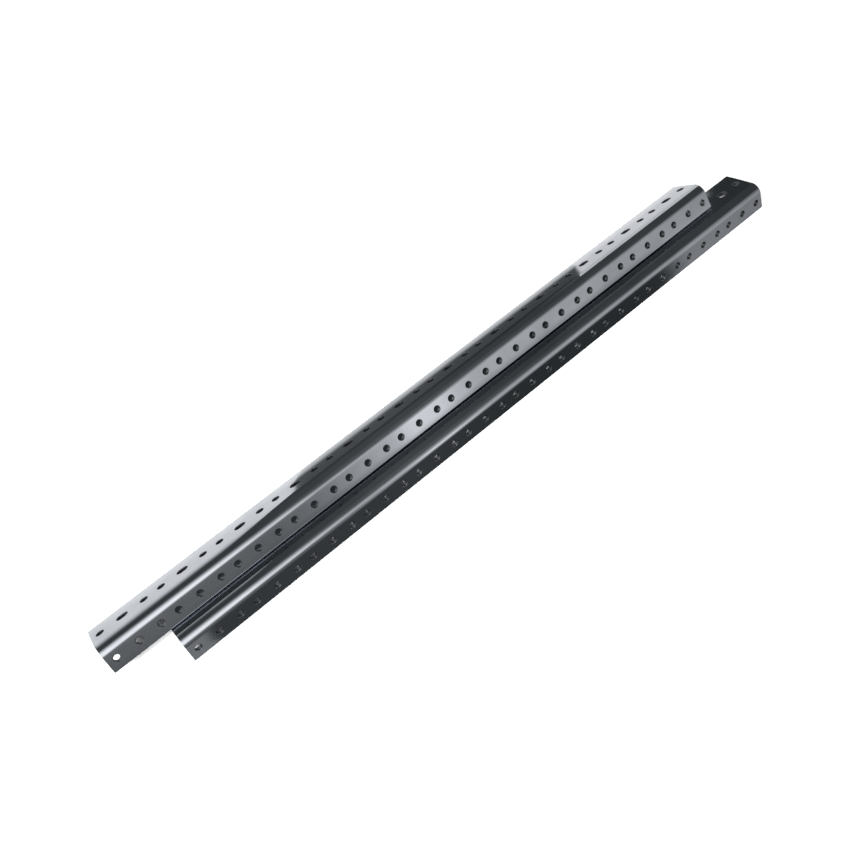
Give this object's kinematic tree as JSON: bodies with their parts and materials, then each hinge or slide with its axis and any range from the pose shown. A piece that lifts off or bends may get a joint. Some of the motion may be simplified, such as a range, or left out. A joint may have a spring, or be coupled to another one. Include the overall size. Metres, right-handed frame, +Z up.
{
  "type": "rear rack rail pair",
  "caption": "L-shaped steel rack rails, folded and punched on the rack unit pattern, with tapped holes on one flange for equipment and plain holes and slots on the other for fixing.",
  "frame": {"origin": "centre of the pair on the surface that it lies on", "axes": "+X along the rails, +Z up, -Y towards the face flanges and the viewer, +Y towards the mount flanges"},
  "size_m": [0.5734, 0.0574, 0.023],
  "materials": {
    "plated_steel": "bright zinc plate over cold rolled sheet, smooth and reflective"
  },
  "bodies": {
    "lower_rail": {"lower_rail": "plated_steel"},
    "upper_rail": {"upper_rail": "plated_steel"}
  },
  "joints": [
    {"name": "upper_rail_lift", "type": "slide", "parent": "lower_rail", "child": "upper_rail", "axis": [0, 0, 1], "range_m": [0, 0.05]}
  ]
}
